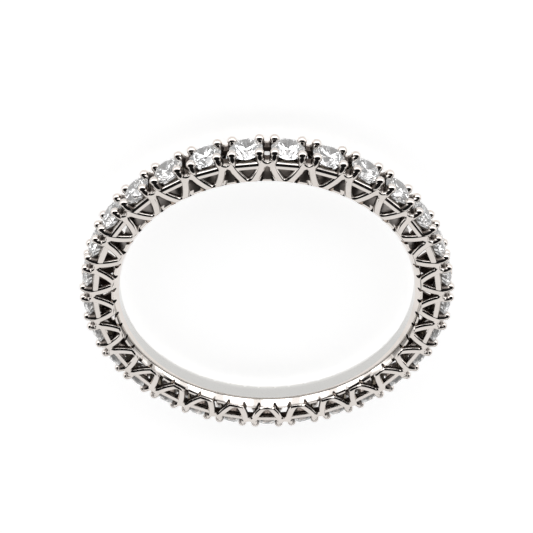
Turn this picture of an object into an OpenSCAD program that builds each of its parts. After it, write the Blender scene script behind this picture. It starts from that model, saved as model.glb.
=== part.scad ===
// Full eternity ring: a row of round brilliants all the way round, held by shared
// beaded prongs over a pierced gallery of V-shaped arms, lying on its side.
// The axis of the finger hole is Z and the ring rests on the plane z = 0.

/* [Ring] */
// Diameter of the finger hole
bore_d = 17.2; // [15.6:0.1:19.6]
// Width of the ring from one pierced face to the other
ring_w = 2.0; // [1.9:0.02:2.3]
// Number of stones round the ring
stone_count = 29; // [27:1:32]
// Height of the stones' girdles above the finger hole
girdle_height = 1.83; // [1.78:0.01:1.95]

/* [Stones] */
// Share of the stone pitch that one stone takes
stone_fill = 0.81; // [0.7:0.005:0.82]
// Diameter of a stone's table as a share of its girdle
table_share = 0.57; // [0.5:0.01:0.65]
// Slope of a stone's crown in degrees
crown_angle = 34.5; // [28:0.5:36]
// Slope of a stone's pavilion in degrees
pavilion_angle = 40.75; // [38:0.25:42]
// Height of a stone's girdle band
girdle_band = 0.04; // [0.02:0.01:0.08]
// Clearance between a stone and the metal
seat_gap = 0.025; // [0.015:0.005:0.04]

/* [Rail] */
// Thickness of the inner rail under the stones
rail_h = 0.43; // [0.36:0.01:0.5]
// Depth of the rail's side face below the pierced face
rail_step = 0.12; // [0.08:0.01:0.2]
// Width across the ring of the rolled edge between finger hole and side face
roll_w = 0.52; // [0.3:0.01:0.6]
// Height of the rolled edge
roll_h = 0.28; // [0.2:0.01:0.32]
// Width of the groove beside each arm
groove_w = 0.2; // [0.14:0.01:0.26]
// Depth of the groove below the pierced face
groove_depth = 0.4; // [0.3:0.01:0.55]

/* [Gallery] */
// Thickness of each pierced wall
wall_t = 0.32; // [0.26:0.01:0.36]
// Height of the foot of each V above the finger hole
foot_height = 0.28; // [0.24:0.01:0.34]
// Height of the lowest point of each V's opening above the finger hole
apex_height = 0.45; // [0.42:0.01:0.52]
// Height at which neighbouring arms meet above the finger hole
join_height = 1.56; // [1.5:0.01:1.6]
// Seam between two neighbouring arms
seam = 0.03; // [0.02:0.005:0.05]
// Height of the bar that closes each V below its stone
bar_h = 0.34; // [0.28:0.01:0.38]
// Height of the bars' tops above the finger hole
bar_height = 1.5; // [1.46:0.01:1.54]
// Height of the collets' tops above the finger hole
collet_height = 1.48; // [1.42:0.01:1.49]
// Thickness of the round collet below each stone
collet_wall = 0.2; // [0.16:0.01:0.26]
// Height of the collet
collet_depth = 0.3; // [0.22:0.01:0.34]

/* [Prongs] */
// Diameter of the bead on each prong
bead_d = 0.57; // [0.5:0.01:0.6]
// Diameter of each prong
prong_d = 0.4; // [0.32:0.01:0.42]
// Height of the beads' centres above the girdles
bead_height = 0.14; // [0.1:0.01:0.18]
// Depth of the saddles between neighbouring prongs, from the pierced face inwards
saddle_depth = 0.65; // [0.4:0.01:0.7]

/* [Hidden] */
metal_colour = [0.82, 0.8, 0.78];
stone_colour = [0.93, 0.95, 0.97];
ring_round = 384;
arc_round = 240;
stone_round = 96;
prong_round = 32;

pitch = 360 / stone_count;
half_w = ring_w / 2;
bore_r = bore_d / 2;
rail_r = bore_r + rail_h;
rail_face = half_w - rail_step;
foot_r = bore_r + foot_height;
apex_r = bore_r + apex_height;
join_r = bore_r + join_height;
girdle_r = bore_r + girdle_height;

function stone_name(i) = str("stone_", i < 10 ? "0" : "", i);

// Half the width of one stone's cell at a given radius
function cell_half(r) = r * tan(pitch / 2);

// Stone sizes
stone_limit = 0.92 * half_w;
stone_r = min(stone_fill * cell_half(girdle_r), stone_limit);
table_r = stone_r * table_share;
crown_h = (stone_r - table_r) * tan(crown_angle);
pavilion_h = stone_r * tan(pavilion_angle);

// Gallery sizes: radii of an arm's belly and tip, and of the notch between two beads
belly_r = (foot_r + join_r) / 2;
tip_r = girdle_r;
notch_half = 0.19;
notch_r = join_r + notch_half;
web_w = 0.16;
web_h = 0.28;
saddle_w = 0.46;
saddle_low = join_r - 0.2;
saddle_high = join_r + 0.03;
saddle_dip = notch_half + 0.02;
saddle_step = 0.04;

// Edges of an arm as shares of half a cell
foot_share = 0.44;
belly_share = 0.838;
open_low_share = 0.329;
open_high_share = 0.575;
collet_top = bore_r + collet_height;
collet_r = half_w - wall_t / 2;
bar_r = bore_r + bar_height;

// Prong sizes: places as shares of half a cell and of half the width
prong_share = 0.65;
prong_side_share = 0.66;
prong_x = prong_share * cell_half(girdle_r);
prong_z = prong_side_share * half_w;
bead_r = girdle_r + bead_height;

// Centre of the circle through three points of an edge
function arc_centre(a, b, c) =
    let (
        d = 2 * (a.x * (b.y - c.y) + b.x * (c.y - a.y) + c.x * (a.y - b.y)),
        aa = a * a,
        bb = b * b,
        cc = c * c
    )
    [
        (aa * (b.y - c.y) + bb * (c.y - a.y) + cc * (a.y - b.y)) / d,
        (aa * (c.x - b.x) + bb * (a.x - c.x) + cc * (b.x - a.x)) / d
    ];

// Outer edge of the right arm, from its foot to the join
outer_edge = [
    [foot_share * cell_half(foot_r), foot_r],
    [belly_share * cell_half(belly_r), belly_r],
    [cell_half(join_r), join_r]
];
outer_c = arc_centre(outer_edge[0], outer_edge[1], outer_edge[2]);
outer_r = norm(outer_edge[0] - outer_c);

// Inner edge of the right arm, from the point of the opening upwards
inner_edge = [
    [0, apex_r],
    [open_low_share * cell_half(belly_r), belly_r],
    [open_high_share * cell_half(join_r), join_r]
];
inner_c = arc_centre(inner_edge[0], inner_edge[1], inner_edge[2]);
inner_r = norm(inner_edge[0] - inner_c);

// Pointed arch between two arcs that mirror each other
module pointed_arch(c, r) {
    intersection() {
        translate(c)
            circle(r, $fn = arc_round);
        translate([-c.x, c.y])
            circle(r, $fn = arc_round);
    }
}

// The wedge that one V fills, less the round notches between its beads and the next
module v_limit() {
    function side(r) = cell_half(r) - seam / 2;
    difference() {
        polygon([
            [side(foot_r), foot_r],
            [side(tip_r), tip_r],
            [-side(tip_r), tip_r],
            [-side(foot_r), foot_r]
        ]);
        for (turn = [-pitch / 2, pitch / 2])
            rotate(turn) {
                translate([0, notch_r])
                    circle(notch_half, $fn = prong_round);
                translate([-notch_half, notch_r])
                    square([2 * notch_half, half_w]);
            }
    }
}

// Flat outline of one V on the rail, closed by its bar below the stone
module v_outline() {
    difference() {
        intersection() {
            v_limit();
            pointed_arch(outer_c, outer_r);
        }
        difference() {
            pointed_arch(inner_c, inner_r);
            translate([-half_w, bar_r - bar_h])
                square([ring_w, bar_h]);
        }
    }
}

// Outline of the whole pierced wall, with a small web where neighbouring arms meet
module wall_outline() {
    for (k = [0 : stone_count - 1]) {
        rotate(k * pitch)
            v_outline();
        rotate((k + 0.5) * pitch)
            translate([-web_w / 2, join_r - web_h])
                square([web_w, web_h]);
    }
}

// Outline of the saddles, one between every two neighbouring prongs
module saddle_outline() {
    for (k = [0 : stone_count - 1])
        rotate((k + 0.5) * pitch)
            difference() {
                translate([-saddle_w / 2, saddle_low])
                    square([saddle_w, saddle_high - saddle_low]);
                translate([0, notch_r])
                    circle(saddle_dip, $fn = prong_round);
            }
}

// Outline of the groove that follows the right arm's outer edge into the rail
module groove_outline() {
    overlap = 0.015;
    above_rail = 0.06;
    end_r = (groove_w + overlap) / 2;
    foot_turn = atan2(foot_r - outer_c.y, outer_edge[0].x - outer_c.x);
    translate(outer_c)
        rotate(foot_turn)
            translate([outer_r - overlap + end_r, 0])
                circle(end_r, $fn = prong_round);
    intersection() {
        translate(outer_c)
            difference() {
                circle(outer_r + groove_w, $fn = arc_round);
                circle(outer_r - overlap, $fn = arc_round);
            }
        translate(outer_c)
            rotate(foot_turn)
                square(2 * outer_r);
        translate([0, bore_r])
            square([half_w, rail_h + above_rail]);
    }
}

// Section of the inner rail, with a long and nearly flat rolled edge from the finger hole
// to each side face
module rail_section() {
    bulge = 0.025;
    clear = 0.05;
    low = [bore_r, rail_face - roll_w];
    high = [bore_r + roll_h, rail_face];
    across = [-roll_w, roll_h] / norm([roll_w, roll_h]);
    middle = (low + high) / 2 + bulge * across;
    roll_c = arc_centre(low, middle, high);
    difference() {
        translate([bore_r, -rail_face])
            square([rail_h, 2 * rail_face]);
        for (up = [0, 1])
            mirror([0, up])
                difference() {
                    translate([bore_r - roll_h, rail_face - roll_w - clear])
                        square([2 * roll_h + clear, roll_w + 2 * clear]);
                    translate(roll_c)
                        circle(norm(low - roll_c), $fn = arc_round);
                }
    }
}

module rail() {
    difference() {
        rotate_extrude($fn = ring_round)
            rail_section();
        for (k = [0 : stone_count - 1])
            for (side = [0, 1])
                for (up = [0, 1])
                    rotate([0, 0, k * pitch])
                        mirror([side, 0, 0])
                            mirror([0, 0, up])
                                translate([0, 0, half_w - groove_depth])
                                    linear_extrude(groove_depth)
                                        groove_outline();
    }
}

// Round collet under a stone, countersunk at the top
module collet() {
    lip_share = 0.4;
    sink_share = 0.6;
    rotate([-90, 0, 0])
        rotate_extrude($fn = stone_round)
            polygon([
                [collet_r - collet_wall, collet_top - collet_depth],
                [collet_r, collet_top - collet_depth],
                [collet_r, collet_top],
                [collet_r - lip_share * collet_wall, collet_top],
                [collet_r - collet_wall, collet_top - sink_share * collet_depth]
            ]);
}

// One prong: a round post that rises from the collet to its bead
module prong() {
    post_h = bead_r - collet_top + collet_depth / 2;
    translate([prong_x, 0, prong_z])
        rotate([-90, 0, 0]) {
            translate([0, 0, bead_r - post_h])
                cylinder(h = post_h, d = prong_d, $fn = prong_round);
            translate([0, 0, bead_r])
                sphere(d = bead_d, $fn = prong_round);
        }
}

// Space that a stone takes in the metal, with its clearance
module seat() {
    r = stone_r + seat_gap;
    rise = girdle_band / 2 + seat_gap;
    rotate([-90, 0, 0])
        rotate_extrude($fn = stone_round)
            polygon([
                [0, girdle_r - rise - pavilion_h],
                [r, girdle_r - rise],
                [r, girdle_r + rise],
                [table_r + seat_gap, girdle_r + rise + crown_h],
                [0, girdle_r + rise + crown_h]
            ]);
}

// The collet and four prongs of one stone, cut to its shape
module mount_of_stone() {
    difference() {
        union() {
            collet();
            for (side = [0, 1])
                for (up = [0, 1])
                    mirror([side, 0, 0])
                        mirror([0, 0, up])
                            prong();
        }
        seat();
    }
}

module setting() {
    color(metal_colour)
        translate([0, 0, half_w])
            union() {
                rail();
                for (up = [0, 1])
                    mirror([0, 0, up]) {
                        translate([0, 0, half_w - wall_t])
                            linear_extrude(wall_t)
                                wall_outline();
                        translate([0, 0, half_w - saddle_depth])
                            linear_extrude(saddle_depth - saddle_step)
                                saddle_outline();
                    }
                for (k = [0 : stone_count - 1])
                    rotate([0, 0, k * pitch])
                        mount_of_stone();
            }
}

// A point of a stone: distance from its axis, direction, and height along the axis
function gem(r, turn, h) = [r * cos(turn), r * sin(turn), h];

// Height of a crown main facet and of a pavilion main facet at distance x along its middle
function crown_at(x) = girdle_band / 2 + crown_h * (stone_r - x) / (stone_r - table_r);
function pavilion_at(x) = -girdle_band / 2 - pavilion_h * (stone_r - x) / stone_r;

// Star facets reach this far out, and the pavilion mains part this far from the culet
star_r = (table_r * cos(22.5) + stone_r) / 2;
main_r = 0.22 * stone_r;

// Points of a round brilliant, ring by ring from the table down to the culet
gem_points = concat(
    [for (i = [0 : 7]) gem(table_r, 45 * i + 22.5, crown_at(table_r))],
    [for (i = [0 : 7]) gem(star_r, 45 * i, crown_at(star_r * cos(22.5)))],
    [for (i = [0 : 15]) gem(stone_r, 22.5 * i, girdle_band / 2)],
    [for (i = [0 : 15]) gem(stone_r, 22.5 * i, -girdle_band / 2)],
    [for (i = [0 : 7]) gem(main_r, 45 * i, pavilion_at(main_r * cos(22.5)))],
    [gem(0, 0, pavilion_at(0))]
);

// First point of each ring
star_at = 8;
top_at = 16;
low_at = 32;
main_at = 48;
culet_at = 56;
gem_faces = concat(
    [[for (i = [7 : -1 : 0]) i]],
    [for (i = [0 : 7]) [i, (i + 1) % 8, star_at + (i + 1) % 8]],
    [for (i = [0 : 7]) [i, star_at + (i + 1) % 8, top_at + 2 * i + 1, star_at + i]],
    [for (i = [0 : 7]) [star_at + i, top_at + 2 * i + 1, top_at + 2 * i]],
    [for (i = [0 : 7]) [star_at + i, top_at + 2 * i, top_at + (2 * i + 15) % 16]],
    [for (i = [0 : 15]) [top_at + i, top_at + (i + 1) % 16, low_at + (i + 1) % 16, low_at + i]],
    [for (i = [0 : 7]) [main_at + i, low_at + 2 * i, low_at + 2 * i + 1]],
    [for (i = [0 : 7]) [main_at + i, low_at + (2 * i + 15) % 16, low_at + 2 * i]],
    [for (i = [0 : 7]) [main_at + i, low_at + 2 * i + 1, main_at + (i + 1) % 8, culet_at]]
);

// One stone, each turned a little differently in its seat as stones set by hand are
module stone(i) {
    hand_turn = 19;
    color(stone_colour)
        translate([0, 0, half_w])
            rotate([0, 0, (i - 1) * pitch])
                translate([0, girdle_r, 0])
                    rotate([-90, 0, 0])
                        rotate([0, 0, hand_turn * i])
                            polyhedron(gem_points, gem_faces);
}

setting();
for (i = [1 : stone_count])
    stone(i);
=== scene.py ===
"""Dresses the eternity ring: white gold, round brilliants, a pale floor and studio light."""
import logging
import math
from dataclasses import dataclass
from enum import Enum
from typing import Iterable

import bmesh
import bpy
from bmesh.types import BMesh, BMFace, BMVert
from mathutils import Matrix, Vector


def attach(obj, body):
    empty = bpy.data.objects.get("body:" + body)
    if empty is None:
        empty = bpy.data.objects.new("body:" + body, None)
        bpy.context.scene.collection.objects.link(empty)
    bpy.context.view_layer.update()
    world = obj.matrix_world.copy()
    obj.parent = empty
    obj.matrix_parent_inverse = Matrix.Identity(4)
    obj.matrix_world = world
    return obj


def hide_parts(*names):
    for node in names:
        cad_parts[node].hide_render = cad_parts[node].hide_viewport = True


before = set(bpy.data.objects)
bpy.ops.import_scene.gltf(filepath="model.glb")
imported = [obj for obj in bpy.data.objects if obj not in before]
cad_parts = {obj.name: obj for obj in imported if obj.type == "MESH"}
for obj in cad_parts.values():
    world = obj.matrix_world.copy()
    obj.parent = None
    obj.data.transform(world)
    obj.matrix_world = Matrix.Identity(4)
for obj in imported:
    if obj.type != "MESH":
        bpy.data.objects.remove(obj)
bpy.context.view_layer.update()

LOG = logging.getLogger("eternity_ring")
MM = 0.001
MERGE_GAP = 0.0005
MIRROR_GAP = 0.0001
FULL_TURN = 2 * math.pi
DEGREES = 180 / math.pi
WHITE = (1.0, 1.0, 1.0, 1.0)


class Side(Enum):
    """A side of a mirrored shape."""

    PLUS = 1
    MINUS = -1


class Edge(Enum):
    """How far an edge of a pierced wall or bar is rounded, as a share of the full rounding."""

    SHARP = 0.0
    BACK = 0.15
    ROUND = 0.54
    BAR = 1.0


class Field:
    """A shader value that Python operators can work on."""

    def __init__(self, graph: "Graph", socket: bpy.types.NodeSocket) -> None:
        """Wraps a socket.

        Args:
            graph: The node graph that the socket belongs to.
            socket: An output socket that carries a number.
        """
        self.graph = graph
        self.socket = socket

    def _math(self, operation: str, a: "Field | float", b: "Field | float") -> "Field":
        """Adds one Math node.

        Args:
            operation: The Math node's operation.
            a: First operand.
            b: Second operand.

        Returns:
            The result as a field.
        """
        node = self.graph.add("ShaderNodeMath", {"operation": operation}, {0: a, 1: b})
        return Field(self.graph, node.outputs[0])

    def __add__(self, other: "Field | float") -> "Field":
        """Sum."""
        return self._math("ADD", self, other)

    def __radd__(self, other: float) -> "Field":
        """Sum with a number on the left."""
        return self._math("ADD", other, self)

    def __sub__(self, other: "Field | float") -> "Field":
        """Difference."""
        return self._math("SUBTRACT", self, other)

    def __rsub__(self, other: float) -> "Field":
        """Difference from a number."""
        return self._math("SUBTRACT", other, self)

    def __mul__(self, other: "Field | float") -> "Field":
        """Product."""
        return self._math("MULTIPLY", self, other)

    def __rmul__(self, other: float) -> "Field":
        """Product with a number on the left."""
        return self._math("MULTIPLY", other, self)

    def __pow__(self, other: float) -> "Field":
        """Power."""
        return self._math("POWER", self, other)

    def turn(self, other: "Field") -> "Field":
        """Angle whose sine and cosine are this value and another, in radians."""
        return self._math("ARCTAN2", self, other)

    def size(self) -> "Field":
        """Absolute value."""
        return self._math("ABSOLUTE", self, 0.0)

    def wave(self, width: float) -> "Field":
        """Rises from 0 to a width and falls back, over and over."""
        return self._math("PINGPONG", self, width)

    def step(self, low: float, high: float) -> "Field":
        """Smooth step from 0 to 1.

        Args:
            low: Value at which the step starts.
            high: Value at which it ends.

        Returns:
            The step as a field.
        """
        node = self.graph.add(
            "ShaderNodeMapRange",
            {"interpolation_type": "SMOOTHSTEP"},
            {"Value": self, "From Min": low, "From Max": high},
        )
        return Field(self.graph, node.outputs["Result"])

    def past(self, ends: tuple[float, float]) -> "Field":
        """Smooth step from 0 to 1 between two distances in millimetres."""
        return self.step(ends[0] * MM, ends[1] * MM)


class Graph:
    """A node tree with one way to add a node."""

    def __init__(self, tree: bpy.types.NodeTree) -> None:
        """Clears a tree.

        Args:
            tree: The node tree of a material or world.
        """
        self.tree = tree
        tree.nodes.clear()

    def add(self, kind: str, settings: dict, inputs: dict) -> bpy.types.Node:
        """Adds a node.

        Args:
            kind: The node's type.
            settings: Properties of the node, set before its sockets.
            inputs: Values or links by socket name or number.

        Returns:
            The new node.
        """
        node = self.tree.nodes.new(kind)
        for name, value in settings.items():
            setattr(node, name, value)
        for key, value in inputs.items():
            if isinstance(value, Field):
                value = value.socket
            if isinstance(value, bpy.types.NodeSocket):
                self.tree.links.new(value, node.inputs[key])
            else:
                node.inputs[key].default_value = value
        return node

    def place(self, output: str = "Object") -> tuple[bpy.types.NodeSocket, Field, Field, Field]:
        """Coordinates of the point that is shaded.

        Args:
            output: "Object" for the place in metres, "Generated" for a direction in the world.

        Returns:
            The vector socket and its X, Y and Z as fields.
        """
        vector = self.add("ShaderNodeTexCoord", {}, {}).outputs[output]
        parts = self.add("ShaderNodeSeparateXYZ", {}, {0: vector})
        return vector, *(Field(self, parts.outputs[i]) for i in range(3))

    def noise(self, vector: bpy.types.NodeSocket, per_mm: float, detail: float) -> Field:
        """Noise between 0 and 1.

        Args:
            vector: Coordinates in metres.
            per_mm: Features in a millimetre.
            detail: Octaves of the noise.

        Returns:
            The noise as a field.
        """
        node = self.add(
            "ShaderNodeTexNoise", {}, {"Vector": vector, "Scale": per_mm / MM, "Detail": detail}
        )
        return Field(self, node.outputs[0])

    def blend(
        self,
        factor: Field,
        a: tuple | bpy.types.NodeSocket,
        b: tuple | bpy.types.NodeSocket,
    ) -> bpy.types.NodeSocket:
        """Colour that goes from one to another.

        Args:
            factor: 0 for the first colour and 1 for the second.
            a: First colour, fixed or from another node.
            b: Second colour, fixed or from another node.

        Returns:
            The colour socket.
        """
        first, second = ((*c, 1.0) if isinstance(c, tuple) else c for c in (a, b))
        node = self.add("ShaderNodeMix", {"data_type": "RGBA"}, {0: factor, 6: first, 7: second})
        return node.outputs[2]


def new_material(name: str) -> tuple[bpy.types.Material, Graph]:
    """Makes a material with an empty node tree.

    Args:
        name: The material's name.

    Returns:
        The material and its graph.
    """
    material = bpy.data.materials.new(name)
    material.use_nodes = True
    return material, Graph(material.node_tree)


@dataclass(frozen=True)
class PolishedGold:
    """Mirror-polished white gold, with fine wiping marks, painted shade in its recesses and a bore
    darkened by painted shade.
    """

    name: str
    colour: tuple = (0.76, 0.71, 0.67)
    worn: tuple = (0.71, 0.665, 0.625)
    worn_ends: tuple = (0.42, 0.72)
    wipes_per_mm: float = 1.1
    wipes_detail: float = 5.0
    grain_per_mm: float = 9.0
    grain_detail: float = 3.0
    roughness: float = 0.05
    marks: float = 0.05
    ripple: float = 0.06
    ripple_depth: float = 0.01
    grain_ripple: float = 0.15
    # The bore is rougher like a satin finish, and its colour is darkened as painted shade to dim
    # its reflection, except in its upper part.
    satin_shade: tuple = (0.64, 0.635, 0.62)
    satin_rough: float = 0.12
    satin_shade_out: tuple = (8.9, 8.95)
    satin_shade_up: tuple = (1.34, 1.38)
    # Painted shade: a near-black colour that darkens the metal in its recesses, away from the faces
    # and between the rail and the stones.
    painted_shade: tuple = (0.065, 0.048, 0.04)
    recess_rough: float = 0.35
    recess_shade: float = 1.0
    recess_ends: tuple = (0.82, 0.92)
    recess_low: tuple = (9.01, 9.04)
    recess_top: tuple = (10.2, 10.5)

    def build(self) -> bpy.types.Material:
        """Makes the material.

        Returns:
            The material.
        """
        material, graph = new_material(self.name)
        vector, x, y, z = graph.place()
        radius = (x * x + y * y) ** 0.5
        # Mask of the painted shade: deeper than the faces, and between the rail and the stones.
        inside = 1.0 - (z - RING.half_w * MM).size().past(self.recess_ends)
        under = radius.past(self.recess_low) * (1.0 - radius.past(self.recess_top))
        recess_shade = inside * under * self.recess_shade
        # Mask of the bore's satin roughness and painted shade.
        bore = (1.0 - radius.past(self.satin_shade_out)) * (1.0 - z.past(self.satin_shade_up))
        wipes = graph.noise(vector, self.wipes_per_mm, self.wipes_detail)
        grain = graph.noise(vector, self.grain_per_mm, self.grain_detail)
        polished = graph.blend(wipes.step(*self.worn_ends), self.colour, self.worn)
        smooth = graph.blend(bore, polished, self.satin_shade)
        rough = self.roughness + self.marks * wipes * grain
        bump = graph.add(
            "ShaderNodeBump",
            {},
            {
                "Strength": self.ripple,
                "Distance": self.ripple_depth * MM,
                "Height": wipes + self.grain_ripple * grain,
            },
        )
        shader = graph.add(
            "ShaderNodeBsdfPrincipled",
            {},
            {
                "Base Color": graph.blend(recess_shade, smooth, self.painted_shade),
                "Metallic": 1.0,
                "Roughness": rough + self.recess_rough * recess_shade + self.satin_rough * bore,
                "Normal": bump.outputs[0],
            },
        )
        graph.add("ShaderNodeOutputMaterial", {}, {0: shader.outputs[0]})
        return material


@dataclass(frozen=True)
class CutStone:
    """Clear, colourless, strongly refracting stone with crisp facets, painted shade in its inner
    part and a faint painted glow in its outer part.
    """

    name: str
    clear: tuple = (1.0, 1.0, 1.0)
    tint: tuple = (0.93, 0.95, 0.97)
    shade: tuple = (0.12, 0.09, 0.075)
    black: tuple = (0.0, 0.0, 0.0)
    shade_ends: tuple = (10.05, 10.3)
    index: float = 2.417
    # Painted glow: the stone's outer part emits a little light, though it is no lamp.
    painted_glow: float = 0.08
    veil_per_mm: float = 1.4
    veil_detail: float = 2.0
    veil_ends: tuple = (0.45, 0.7)

    def build(self) -> bpy.types.Material:
        """Makes the material.

        Returns:
            The material.
        """
        material, graph = new_material(self.name)
        vector, x, y, _ = graph.place()
        # Painted shade: the part of the stone nearer the ring's axis is coloured dark brown.
        outer = ((x * x + y * y) ** 0.5).past(self.shade_ends)
        veil = graph.noise(vector, self.veil_per_mm, self.veil_detail)
        top = graph.blend(veil.step(*self.veil_ends), self.clear, self.tint)
        shader = graph.add(
            "ShaderNodeBsdfPrincipled",
            {},
            {
                "Base Color": graph.blend(outer, self.shade, top),
                "Metallic": 0.0,
                "Roughness": 0.0,
                "IOR": self.index,
                "Transmission Weight": 1.0,
                "Emission Color": graph.blend(outer, self.black, self.clear),
                "Emission Strength": self.painted_glow,
            },
        )
        graph.add("ShaderNodeOutputMaterial", {}, {0: shader.outputs[0]})
        return material


@dataclass(frozen=True)
class PaleFloor:
    """Matt white studio floor, faintly lit from below like a light table."""

    name: str
    colour: tuple = (0.75, 0.75, 0.75)
    shaded: float = 0.97
    roughness: float = 0.7
    glow: float = 0.74
    paper_per_mm: float = 0.4
    paper_detail: float = 4.0

    def build(self) -> bpy.types.Material:
        """Makes the material.

        Returns:
            The material.
        """
        material, graph = new_material(self.name)
        vector, *_ = graph.place()
        paper = graph.noise(vector, self.paper_per_mm, self.paper_detail)
        shade = tuple(self.shaded * part for part in self.colour)
        shader = graph.add(
            "ShaderNodeBsdfPrincipled",
            {},
            {
                "Base Color": graph.blend(paper, self.colour, shade),
                "Roughness": self.roughness,
                "Emission Color": WHITE,
                "Emission Strength": self.glow,
            },
        )
        graph.add("ShaderNodeOutputMaterial", {}, {0: shader.outputs[0]})
        return material


@dataclass(frozen=True)
class RingPlan:
    """Main sizes of the ring in millimetres. Radii are measured from the finger hole's axis."""

    bore_r: float = 8.6
    half_w: float = 1.0
    stones: int = 29
    rail_r: float = 9.03
    rail_face: float = 0.88
    foot_r: float = 8.88
    apex_r: float = 9.05
    join_r: float = 10.16
    girdle_r: float = 10.43

    @property
    def pitch(self) -> float:
        """Angle between two stones."""
        return FULL_TURN / self.stones

    def cell_half(self, radius: float) -> float:
        """Half the width of one stone's cell.

        Args:
            radius: Where it is measured.

        Returns:
            The half width.
        """
        return radius * math.tan(self.pitch / 2)


RING = RingPlan()


@dataclass(frozen=True)
class Arc:
    """Part of a circle in the plane of a pierced wall."""

    centre: Vector
    radius: float

    @classmethod
    def through(cls, a: Vector, b: Vector, c: Vector) -> "Arc":
        """Circle through three points.

        Args:
            a: First point.
            b: Second point.
            c: Third point.

        Returns:
            The arc.
        """
        d = 2 * (a.x * (b.y - c.y) + b.x * (c.y - a.y) + c.x * (a.y - b.y))
        aa, bb, cc = a.dot(a), b.dot(b), c.dot(c)
        centre = Vector(
            (
                (aa * (b.y - c.y) + bb * (c.y - a.y) + cc * (a.y - b.y)) / d,
                (aa * (c.x - b.x) + bb * (a.x - c.x) + cc * (b.x - a.x)) / d,
            )
        )
        return cls(centre, (a - centre).length)

    def turn_of(self, point: Vector) -> float:
        """Direction of a point from the centre, in radians."""
        away = point - self.centre
        return math.atan2(away.y, away.x)

    def at_height(self, height: float) -> Vector:
        """Right-hand point of the circle at a height."""
        rise = height - self.centre.y
        return Vector((self.centre.x + math.sqrt(self.radius**2 - rise**2), height))

    def sweep(self, mesh: BMesh, start: BMVert, end: Vector, steps: int) -> BMVert:
        """Draws the arc from a vertex to a point.

        Args:
            mesh: The mesh that is drawn in.
            start: Vertex on the arc.
            end: Point on the arc.
            steps: Number of edges.

        Returns:
            The last vertex.
        """
        turn = self.turn_of(end) - self.turn_of(start.co.to_2d())
        turn = (turn + math.pi) % FULL_TURN - math.pi
        swept = bmesh.ops.spin(
            mesh,
            geom=[start],
            cent=(*self.centre, 0.0),
            axis=(0.0, 0.0, 1.0),
            angle=turn,
            steps=steps,
        )
        return verts_of(swept["geom_last"])[0]


def verts_of(geometry: Iterable) -> list[BMVert]:
    """Vertices among some parts of a mesh."""
    return [item for item in geometry if isinstance(item, BMVert)]


def join(mesh: BMesh, start: BMVert, end: Vector) -> BMVert:
    """Draws a straight edge from a vertex to a point.

    Args:
        mesh: The mesh that is drawn in.
        start: Where the edge starts.
        end: Where it ends.

    Returns:
        The new vertex.
    """
    last = mesh.verts.new((*end, 0.0))
    mesh.edges.new((start, last))
    return last


def repeat_round(mesh: BMesh, count: int, first: float = 0.0) -> None:
    """Repeats all that a mesh holds round the ring's axis.

    Args:
        mesh: The mesh, with one copy at the top of the ring.
        count: Number of copies in a full round.
        first: Turn of the first copy, in radians.
    """
    source = mesh.verts[:] + mesh.edges[:] + mesh.faces[:]
    for index in range(1, count):
        made = bmesh.ops.duplicate(mesh, geom=source)["geom"]
        turn_round(mesh, made, first + index * FULL_TURN / count)
    turn_round(mesh, source, first)


def turn_round(mesh: BMesh, geometry: Iterable, angle: float) -> None:
    """Turns part of a mesh about the ring's axis."""
    bmesh.ops.rotate(
        mesh,
        verts=verts_of(geometry),
        cent=(0.0, 0.0, 0.0),
        matrix=Matrix.Rotation(angle, 3, "Z"),
    )


def mirror_copy(mesh: BMesh, scale: tuple[float, float, float]) -> None:
    """Adds a mirrored copy of all that a mesh holds.

    Args:
        mesh: The mesh.
        scale: -1 on the axis that is mirrored.
    """
    made = bmesh.ops.duplicate(mesh, geom=mesh.verts[:] + mesh.edges[:] + mesh.faces[:])["geom"]
    bmesh.ops.scale(mesh, vec=scale, verts=verts_of(made))
    bmesh.ops.reverse_faces(mesh, faces=[item for item in made if isinstance(item, BMFace)])


def merge(mesh: BMesh) -> None:
    """Joins the vertices of a mesh that lie in one place."""
    bmesh.ops.remove_doubles(mesh, verts=mesh.verts[:], dist=MERGE_GAP)


def complete(mesh: BMesh, axis: str) -> None:
    """Completes half an outline with its mirror image.

    Args:
        mesh: The half outline.
        axis: Letter of the axis that is mirrored.
    """
    bmesh.ops.mirror(mesh, geom=mesh.verts[:] + mesh.edges[:], axis=axis, merge_dist=MIRROR_GAP)
    merge(mesh)


def thicken(mesh: BMesh, low: float, thickness: float) -> None:
    """Gives flat faces a thickness along the ring's axis.

    Args:
        mesh: The faces, at height 0.
        low: Height at which the lower side comes to lie.
        thickness: Distance of the upper side from it.
    """
    raised = bmesh.ops.extrude_face_region(mesh, geom=mesh.faces[:])["geom"]
    bmesh.ops.translate(mesh, vec=(0, 0, thickness), verts=verts_of(raised))
    bmesh.ops.recalc_face_normals(mesh, faces=mesh.faces[:])
    bmesh.ops.translate(mesh, vec=(0, 0, low), verts=mesh.verts[:])


def revolve(mesh: BMesh, axis: tuple[float, float, float], steps: int) -> None:
    """Turns an outline into a full round.

    Args:
        mesh: The outline.
        axis: Direction of the axis, which runs through the origin.
        steps: Number of steps in the round.
    """
    bmesh.ops.spin(
        mesh,
        geom=mesh.verts[:] + mesh.edges[:],
        cent=(0.0, 0.0, 0.0),
        axis=axis,
        angle=FULL_TURN,
        steps=steps,
        use_merge=True,
    )
    merge(mesh)


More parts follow.
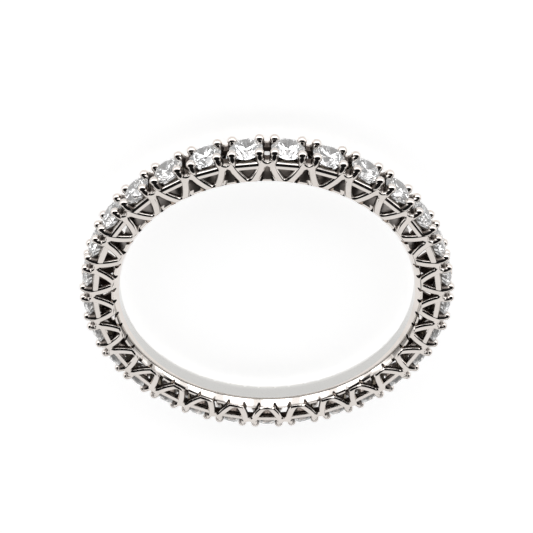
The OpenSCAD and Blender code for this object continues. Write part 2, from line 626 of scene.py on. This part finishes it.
def to_mesh(mesh: BMesh, name: str) -> bpy.types.Mesh:
    """Turns a bmesh in millimetres, centred on the ring, into a mesh in the part's frame.

    Args:
        mesh: The bmesh, which is freed.
        name: Name of the mesh.

    Returns:
        The mesh in metres.
    """
    bmesh.ops.recalc_face_normals(mesh, faces=mesh.faces[:])
    bmesh.ops.translate(mesh, vec=(0.0, 0.0, RING.half_w), verts=mesh.verts[:])
    bmesh.ops.scale(mesh, vec=(MM, MM, MM), verts=mesh.verts[:])
    data = bpy.data.meshes.new(name)
    mesh.to_mesh(data)
    mesh.free()
    return data


def to_piece(data: bpy.types.Mesh, material: bpy.types.Material, crease: float) -> bpy.types.Object:
    """Makes a piece that rides on the ring.

    Args:
        data: The piece's mesh, in place.
        material: Its finish.
        crease: Angle in degrees past which an edge stays sharp.

    Returns:
        The object.
    """
    data.polygons.foreach_set("use_smooth", [True] * len(data.polygons))
    data.set_sharp_from_angle(angle=math.radians(crease))
    data.materials.append(material)
    piece = bpy.data.objects.new(data.name, data)
    bpy.context.scene.collection.objects.link(piece)
    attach(piece, "root")
    return piece


@dataclass
class Gallery:
    """The two pierced walls: a V under every stone, each arm joined to the next V's."""

    wall: float = 0.32
    foot_share: float = 0.44
    belly_share: float = 0.838
    open_low: float = 0.329
    open_high: float = 0.575
    point_rise: float = 0.1
    tip_r: float = 10.3
    notch_half: float = 0.19
    web_r: float = 9.87
    arm_end_r: float = 9.79
    bar_top: float = 10.13
    bar_h: float = 0.38
    bar_half: float = 0.66
    bar_step: float = 0.03
    bar_depth: float = 0.34
    rounding: float = 0.2
    wall_profile: float = 0.3
    bar_profile: float = 0.5
    segments: int = 5
    arm_steps: int = 12
    notch_steps: int = 6
    inner_steps: int = 13
    point_steps: int = 3
    flat_below: float = 35.0
    wall_crease: float = 180.0
    bar_crease: float = 30.0

    @classmethod
    def notch_middle(cls) -> float:
        """Distance of the middle of a notch between two prongs from the ring's axis."""
        return RING.join_r / math.cos(RING.pitch / 2) + cls.notch_half

    @property
    def belly_r(self) -> float:
        """Radius at which the arms are measured half way up."""
        return (RING.foot_r + RING.join_r) / 2

    @property
    def foot(self) -> Vector:
        """Right-hand corner of a V's foot."""
        return Vector((self.foot_share * RING.cell_half(RING.foot_r), RING.foot_r))

    @property
    def outer(self) -> Arc:
        """Outer edge of the right-hand arm."""
        return Arc.through(
            self.foot,
            Vector((self.belly_share * RING.cell_half(self.belly_r), self.belly_r)),
            Vector((RING.cell_half(RING.join_r), RING.join_r)),
        )

    @property
    def inner(self) -> Arc:
        """Inner edge of the right-hand arm."""
        return Arc.through(
            Vector((0.0, RING.apex_r)),
            Vector((self.open_low * RING.cell_half(self.belly_r), self.belly_r)),
            Vector((self.open_high * RING.cell_half(RING.join_r), RING.join_r)),
        )

    def outline(self, mesh: BMesh) -> None:
        """Draws the closed outline of one V.

        Args:
            mesh: An empty mesh.
        """
        along = Vector((math.sin(RING.pitch / 2), math.cos(RING.pitch / 2)))
        across = Vector((-along.y, along.x))
        web = self.web_r / along.y * along
        bottom = RING.join_r / along.y * along
        notch = Arc(bottom + self.notch_half * along, self.notch_half)

        vert = mesh.verts.new((0.0, RING.foot_r, 0.0))
        vert = join(mesh, vert, self.foot)
        vert = self.outer.sweep(
            mesh, vert, self.outer.at_height(self.arm_end_r), self.arm_steps
        )
        vert = join(mesh, vert, web)
        vert = join(mesh, vert, bottom)
        vert = notch.sweep(mesh, vert, notch.centre + notch.radius * across, self.notch_steps)
        vert = join(mesh, vert, self.inner.at_height(self.tip_r))
        corner = self.inner.at_height(RING.apex_r + self.point_rise)
        vert = self.inner.sweep(mesh, vert, corner, self.inner_steps)
        inward = (self.inner.centre - corner).normalized()
        radius = corner.x / -inward.x
        point = Arc(corner + radius * inward, radius)
        point.sweep(mesh, vert, point.centre - Vector((0.0, radius)), self.point_steps)
        complete(mesh, "X")

    def weigh(self, mesh: BMesh) -> None:
        """Says how far each edge of a wall is rounded."""
        weights = mesh.edges.layers.float.new("bevel_weight_edge")
        flat = math.radians(self.flat_below)
        for edge in mesh.edges:
            low, high = sorted(vert.co.z for vert in edge.verts)
            if high - low > self.wall / 2 or edge.calc_face_angle() < flat:
                kind = Edge.SHARP
            elif low > RING.half_w - self.wall / 2:
                kind = Edge.ROUND
            else:
                kind = Edge.BACK
            edge[weights] = kind.value

    def bars(self) -> BMesh:
        """Draws the straight bar that closes each V below its stone.

        Returns:
            The bars of one wall.
        """
        mesh = bmesh.new()
        size = Matrix.Diagonal((2 * self.bar_half, self.bar_h, self.bar_depth, 1.0))
        face = RING.half_w - self.bar_step
        middle = (0.0, self.bar_top - self.bar_h / 2, face - self.bar_depth / 2)
        bmesh.ops.create_cube(mesh, size=1.0, matrix=Matrix.Translation(middle) @ size)
        weights = mesh.edges.layers.float.new("bevel_weight_edge")
        for edge in mesh.edges:
            points = [vert.co for vert in edge.verts]
            front = min(p.z for p in points) > middle[2]
            along = abs(points[0].x - points[1].x) > self.bar_half
            kind = Edge.SHARP
            if front and along:
                kind = Edge.BAR if points[0].y > middle[1] else Edge.BACK
            edge[weights] = kind.value
        mirror_copy(mesh, (1, 1, -1))
        repeat_round(mesh, RING.stones)
        return mesh

    def wall_plate(self) -> BMesh:
        """Draws both pierced walls without their bars.

        Returns:
            The walls.
        """
        mesh = bmesh.new()
        self.outline(mesh)
        bmesh.ops.contextual_create(mesh, geom=mesh.edges[:])
        repeat_round(mesh, RING.stones)
        merge(mesh)
        thicken(mesh, RING.half_w - self.wall, self.wall)
        self.weigh(mesh)
        mirror_copy(mesh, (1, 1, -1))
        return mesh

    def build(
        self, finish: bpy.types.Material, plain: bpy.types.Material
    ) -> list[bpy.types.Object]:
        """Builds the walls and their bars.

        Args:
            finish: The walls' finish.
            plain: The bars' finish.

        Returns:
            The two pieces.
        """
        pieces = []
        for name, mesh, skin, profile, crease in (
            ("gallery_walls", self.wall_plate(), finish, self.wall_profile, self.wall_crease),
            ("gallery_bars", self.bars(), plain, self.bar_profile, self.bar_crease),
        ):
            piece = to_piece(to_mesh(mesh, name), skin, crease)
            bevel = piece.modifiers.new("rounded_edges", "BEVEL")
            bevel.limit_method = "WEIGHT"
            bevel.width = self.rounding * MM
            bevel.segments = self.segments
            bevel.profile = profile
            bevel.harden_normals = True
            bevel.use_clamp_overlap = False
            pieces.append(piece)
        return pieces


@dataclass
class Rail:
    """The inner rail with its rolled edges, and a groove beside every arm."""

    roll_w: float = 0.52
    roll_h: float = 0.28
    bulge: float = 0.025
    groove_w: float = 0.2
    groove_floor: float = 0.64
    groove_rise: float = 0.06
    overlap: float = 0.015
    groove_cut: float = 0.6
    corner: float = 0.03
    steps: int = 384
    roll_steps: int = 8
    groove_steps: int = 5
    end_steps: int = 4
    crease: float = 12.0

    def body(self) -> BMesh:
        """Spins the rail's section.

        Returns:
            The closed rail without its grooves.
        """
        mesh = bmesh.new()
        low = Vector((RING.bore_r, RING.rail_face - self.roll_w))
        high = Vector((RING.bore_r + self.roll_h, RING.rail_face))
        out = Vector((-self.roll_w, self.roll_h)).normalized()
        roll = Arc.through(low, (low + high) / 2 + self.bulge * out, high)
        curve = mesh.verts.new((low.x, 0.0, low.y))
        swept = bmesh.ops.spin(
            mesh,
            geom=[curve],
            cent=(roll.centre.x, 0.0, roll.centre.y),
            axis=(0.0, 1.0, 0.0),
            angle=roll.turn_of(low) - roll.turn_of(high),
            steps=self.roll_steps,
        )
        last = verts_of(swept["geom_last"])[0]
        for across, up in (
            (RING.rail_r - self.corner, RING.rail_face),
            (RING.rail_r, RING.rail_face - self.corner),
            (RING.rail_r, 0.0),
        ):
            vert = mesh.verts.new((across, 0.0, up))
            mesh.edges.new((last, vert))
            last = vert
        start = mesh.verts.new((RING.bore_r, 0.0, 0.0))
        mesh.edges.new((start, curve))
        complete(mesh, "Z")
        revolve(mesh, (0.0, 0.0, 1.0), self.steps)
        return mesh

    def grooves(self, gallery: Gallery) -> BMesh:
        """Draws the shapes that the grooves take away.

        Args:
            gallery: The walls whose outer edges the grooves follow.

        Returns:
            All the grooves as closed shapes.
        """
        mesh = bmesh.new()
        inner = Arc(gallery.outer.centre, gallery.outer.radius - self.overlap)
        outer = Arc(gallery.outer.centre, gallery.outer.radius + self.groove_w)
        foot = gallery.outer.turn_of(gallery.foot)
        out = Vector((math.cos(foot), math.sin(foot)))
        middle = inner.centre + (inner.radius + outer.radius) / 2 * out
        end = Arc(middle, (outer.radius - inner.radius) / 2)
        height = RING.rail_r + self.groove_rise
        first = mesh.verts.new((*(inner.centre + inner.radius * out), 0.0))
        vert = inner.sweep(mesh, first, inner.at_height(height), self.groove_steps)
        vert = join(mesh, vert, outer.at_height(height))
        vert = outer.sweep(mesh, vert, outer.centre + outer.radius * out, self.groove_steps)
        low = end.centre + end.radius * Vector((out.y, -out.x))
        vert = end.sweep(mesh, vert, low, self.end_steps)
        end.sweep(mesh, vert, first.co.to_2d(), self.end_steps)
        merge(mesh)
        bmesh.ops.contextual_create(mesh, geom=mesh.edges[:])
        thicken(mesh, self.groove_floor, self.groove_cut)
        mirror_copy(mesh, (-1, 1, 1))
        mirror_copy(mesh, (1, 1, -1))
        repeat_round(mesh, RING.stones)
        return mesh

    def build(self, gallery: Gallery, finish: bpy.types.Material) -> bpy.types.Object:
        """Builds the rail and cuts its grooves.

        Args:
            gallery: The walls that stand on the rail.
            finish: The metal's finish.

        Returns:
            The piece.
        """
        data = to_mesh(self.body(), "rail_blank")
        cutter_data = to_mesh(self.grooves(gallery), "grooves")
        scene = bpy.context.scene
        blank = bpy.data.objects.new("rail_blank", data)
        cutter = bpy.data.objects.new("grooves", cutter_data)
        for item in (blank, cutter):
            scene.collection.objects.link(item)
        cut = blank.modifiers.new("cut", "BOOLEAN")
        cut.operation = "DIFFERENCE"
        cut.solver = "EXACT"
        cut.object = cutter
        graph = bpy.context.evaluated_depsgraph_get()
        result = bpy.data.meshes.new_from_object(blank.evaluated_get(graph))
        result.name = "inner_rail"
        for item in (blank, cutter):
            bpy.data.objects.remove(item)
        for spare in (data, cutter_data):
            bpy.data.meshes.remove(spare)
        return to_piece(result, finish, self.crease)


@dataclass
class Collets:
    """The round collet that carries each stone."""

    top_r: float = 10.16
    height: float = 0.34
    outer: float = 0.8
    wall: float = 0.12
    lip: float = 0.02
    rim_share: float = 0.4
    funnel_share: float = 0.6
    steps: int = 48
    crease: float = 32.0

    def build(self, finish: bpy.types.Material) -> bpy.types.Object:
        """Builds all collets as one piece.

        Args:
            finish: The metal's finish.

        Returns:
            The piece.
        """
        mesh = bmesh.new()
        inner, low, lip = self.outer - self.wall, self.top_r - self.height, self.lip
        section = [
            (inner, low),
            (self.outer - lip, low),
            (self.outer, low + lip),
            (self.outer, self.top_r - lip),
            (self.outer - lip, self.top_r),
            (self.outer - self.rim_share * self.wall, self.top_r),
            (inner, self.top_r - self.funnel_share * self.height),
        ]
        loop = [mesh.verts.new((x, y, 0.0)) for x, y in section]
        for a, b in zip(loop, loop[1:] + loop[:1]):
            mesh.edges.new((a, b))
        revolve(mesh, (0.0, 1.0, 0.0), self.steps)
        bmesh.ops.recalc_face_normals(mesh, faces=mesh.faces[:])
        repeat_round(mesh, RING.stones)
        return to_piece(to_mesh(mesh, "collets"), finish, self.crease)


@dataclass
class Prongs:
    """The shared prongs: round posts that bend over the stones into beads."""

    across: float = 0.65
    from_middle: float = 0.635
    bead_r: float = 10.57
    bead: float = 0.275
    bead_rings: tuple = (20, 12)
    post: float = 0.2
    post_flare: float = 1.1
    post_sides: int = 16
    post_low: float = 9.8
    claw_r: float = 10.26
    claw_z: float = 0.62
    claw_size: tuple = (0.265, 0.53, 0.377)
    claw_rings: tuple = (20, 16)
    crease: float = 40.0
    saddle_half: float = 0.23
    saddle_low: float = 9.96
    saddle_high: float = 10.25
    saddle_dip: float = 0.185
    saddle_ends: tuple = (0.35, 0.94)
    saddle_steps: int = 5
    saddle_crease: float = 30.0

    def at(self, side: Side, radius: float) -> Vector:
        """Point on the axis of the upper prong of a cell.

        Args:
            side: Which of the two prongs.
            radius: Distance from the ring's axis.

        Returns:
            The point.
        """
        return Vector(
            (side.value * self.across * RING.cell_half(RING.girdle_r), radius, self.from_middle)
        )

    def saddles(self, finish: bpy.types.Material) -> bpy.types.Object:
        """Builds the hollowed saddles between neighbouring prongs as one piece.

        Args:
            finish: The metal's finish.

        Returns:
            The piece.
        """
        mesh = bmesh.new()
        notch = Arc(Vector((0.0, Gallery.notch_middle())), self.saddle_dip)
        lip = notch.centre.y - self.saddle_high
        reach = math.sqrt(self.saddle_dip**2 - lip**2)
        vert = mesh.verts.new((0.0, self.saddle_low, 0.0))
        for corner in (
            (self.saddle_half, self.saddle_low),
            (self.saddle_half, self.saddle_high),
            (reach, self.saddle_high),
        ):
            vert = join(mesh, vert, Vector(corner))
        bottom = notch.centre - Vector((0.0, self.saddle_dip))
        notch.sweep(mesh, vert, bottom, self.saddle_steps)
        complete(mesh, "X")
        bmesh.ops.contextual_create(mesh, geom=mesh.edges[:])
        low, high = self.saddle_ends
        thicken(mesh, low, high - low)
        mirror_copy(mesh, (1, 1, -1))
        repeat_round(mesh, RING.stones, RING.pitch / 2)
        return to_piece(to_mesh(mesh, "saddles"), finish, self.saddle_crease)

    def build(self, finish: bpy.types.Material) -> bpy.types.Object:
        """Builds all prongs as one piece.

        Args:
            finish: The metal's finish.

        Returns:
            The piece.
        """
        mesh = bmesh.new()
        upright = Matrix.Rotation(-math.pi / 2, 4, "X")
        height = self.bead_r - self.post_low
        claw = Matrix.Diagonal((*self.claw_size, 1.0))
        for side in Side:
            place = self.at(side, self.claw_r)
            place.z = self.claw_z
            bmesh.ops.create_uvsphere(
                mesh,
                u_segments=self.claw_rings[0],
                v_segments=self.claw_rings[1],
                radius=1.0,
                matrix=Matrix.Translation(place) @ claw @ upright,
            )
            bmesh.ops.create_cone(
                mesh,
                segments=self.post_sides,
                cap_ends=True,
                radius1=self.post,
                radius2=self.post * self.post_flare,
                depth=height,
                matrix=Matrix.Translation(self.at(side, self.post_low + height / 2)) @ upright,
            )
            bmesh.ops.create_uvsphere(
                mesh,
                u_segments=self.bead_rings[0],
                v_segments=self.bead_rings[1],
                radius=self.bead,
                matrix=Matrix.Translation(self.at(side, self.bead_r)) @ upright,
            )
        mirror_copy(mesh, (1, 1, -1))
        repeat_round(mesh, RING.stones)
        return to_piece(to_mesh(mesh, "prongs"), finish, self.crease)


@dataclass
class PhotoCamera:
    """Camera at the photograph's angle to the ring, above the floor."""

    elevation: float = 47.595
    azimuth: float = 0.146
    roll: float = 179.85
    distance: float = 80.45
    aim: tuple = (0.029, -1.997, 0.0)
    focal_pixels: float = 1375.2
    frame_pixels: int = 533
    sensor: float = 36.0
    clip: tuple = (0.005, 10.0)

    def build(self) -> bpy.types.Object:
        """Makes the scene's camera.

        Returns:
            The camera.
        """
        data = bpy.data.cameras.new("photo_camera")
        data.sensor_width = self.sensor
        data.lens = self.sensor * self.focal_pixels / self.frame_pixels
        data.clip_start, data.clip_end = self.clip
        camera = bpy.data.objects.new("photo_camera", data)
        bpy.context.scene.collection.objects.link(camera)
        rise, turn = math.radians(self.elevation), math.radians(self.azimuth)
        back = Vector(
            (
                math.sin(turn) * math.cos(rise),
                -math.cos(turn) * math.cos(rise),
                math.sin(rise),
            )
        )
        middle = Vector((0.0, 0.0, RING.half_w))
        place = (middle + self.distance * back) * MM
        look = (middle + Vector(self.aim)) * MM - place
        turned = look.to_track_quat("-Z", "Y").to_matrix().to_4x4()
        camera.matrix_world = (
            Matrix.Translation(place) @ turned @ Matrix.Rotation(math.radians(self.roll), 4, "Z")
        )
        bpy.context.scene.camera = camera
        return camera


@dataclass
class Studio:
    """Pale floor and plain soft light, with a dark gap overhead as in a light tent."""

    floor_size: float = 0.6
    floor_cells: int = 8
    front_light: float = 3.0
    back_light: float = 0.96
    gap_light: float = 0.01
    gap_front: float = 30.0
    gap_back: float = 122.0
    gap_side: float = 78.0
    gap_blur: float = 4.0
    side_blur: tuple = (0.08, 0.04)
    back_ends: tuple = (-0.1, 0.4)
    panel: float = 13.0
    seam: float = 3.5
    seam_blur: float = 1.0
    seam_light: float = 0.42
    low_light: float = 0.25
    low_up: tuple = (0.1, 0.3)
    low_back: tuple = (-0.3, 0.1)

    def floor(self) -> bpy.types.Object:
        """Lays the floor.

        Returns:
            The floor.
        """
        mesh = bmesh.new()
        cells = self.floor_cells
        bmesh.ops.create_grid(mesh, x_segments=cells, y_segments=cells, size=self.floor_size / 2)
        data = bpy.data.meshes.new("studio_floor")
        mesh.to_mesh(data)
        mesh.free()
        data.materials.append(PaleFloor("pale_floor").build())
        floor = bpy.data.objects.new("studio_floor", data)
        bpy.context.scene.collection.objects.link(floor)
        return floor

    def light(self) -> bpy.types.World:
        """Surrounds the ring with soft light.

        Returns:
            The world.
        """
        world = bpy.data.worlds.new("light_tent")
        world.use_nodes = True
        graph = Graph(world.node_tree)
        _, x, y, z = graph.place("Generated")
        rise = z.turn(0.0 - y) * DEGREES
        blur = self.gap_blur
        gap = rise.step(self.gap_front - blur, self.gap_front + blur)
        gap = gap * (1.0 - rise.step(self.gap_back - blur, self.gap_back + blur))
        side = math.sin(math.radians(self.gap_side))
        gap = gap * (1.0 - x.size().step(side - self.side_blur[0], side + self.side_blur[1]))
        back = y.step(*self.back_ends)
        around = x.turn(0.0 - y) * DEGREES + self.panel / 2
        panels = around.wave(self.panel).step(
            self.seam - self.seam_blur, self.seam + self.seam_blur
        )
        front = self.front_light * (self.seam_light + (1.0 - self.seam_light) * panels)
        level = front + (self.back_light - front) * back
        low = (1.0 - z.step(*self.low_up)) * y.step(*self.low_back)
        level = level * (1.0 - (1.0 - self.low_light) * low)
        level = level * (1.0 - gap) + self.gap_light * gap
        shade = graph.add("ShaderNodeBackground", {}, {0: WHITE, 1: level})
        graph.add("ShaderNodeOutputWorld", {}, {0: shade.outputs[0]})
        bpy.context.scene.world = world
        bpy.context.scene.view_settings.view_transform = "Standard"
        return world


def report(piece: bpy.types.Object) -> None:
    """Logs a finished piece."""
    LOG.info("%s: %d faces", piece.name, len(piece.data.polygons))


def main() -> None:
    """Builds the camera, the ring's pieces and the studio in order."""
    logging.basicConfig(level=logging.INFO, format="%(message)s")
    PhotoCamera().build()

    # Every metal finish below darkens its recesses with painted shade.
    metal = PolishedGold("white_gold").build()
    # On the prongs the painted shade lies on the claws below the beads, away from the faces.
    beads = PolishedGold(
        "white_gold_prongs",
        roughness=0.03,
        recess_shade=0.85,
        recess_ends=(0.91, 0.98),
        recess_top=(10.42, 10.6),
    ).build()
    # The bars and saddles get painted shade further in from the faces.
    plain = PolishedGold("white_gold_bars", recess_ends=(0.72, 0.84)).build()
    # The collets are coloured dark brown as painted shade and a painted dark reflection beneath the
    # stones' girdles.
    shaded_cups = PolishedGold(
        "collets_painted_shade",
        colour=(0.26, 0.22, 0.16),
        worn=(0.2, 0.17, 0.12),
        roughness=0.2,
        recess_shade=0.35,
    ).build()
    gallery = Gallery()
    prongs = Prongs()
    pieces = [
        *gallery.build(metal, plain),
        Rail().build(gallery, metal),
        Collets().build(shaded_cups),
        prongs.build(beads),
        prongs.saddles(plain),
    ]
    for piece in pieces:
        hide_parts("setting")
        report(piece)

    brilliant = CutStone("brilliant").build()
    for name, node in sorted(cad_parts.items()):
        if name.startswith("stone_"):
            node.data.materials.clear()
            node.data.materials.append(brilliant)
            report(node)

    studio = Studio()
    report(studio.floor())
    studio.light()


if __name__ == "__main__":
    main()
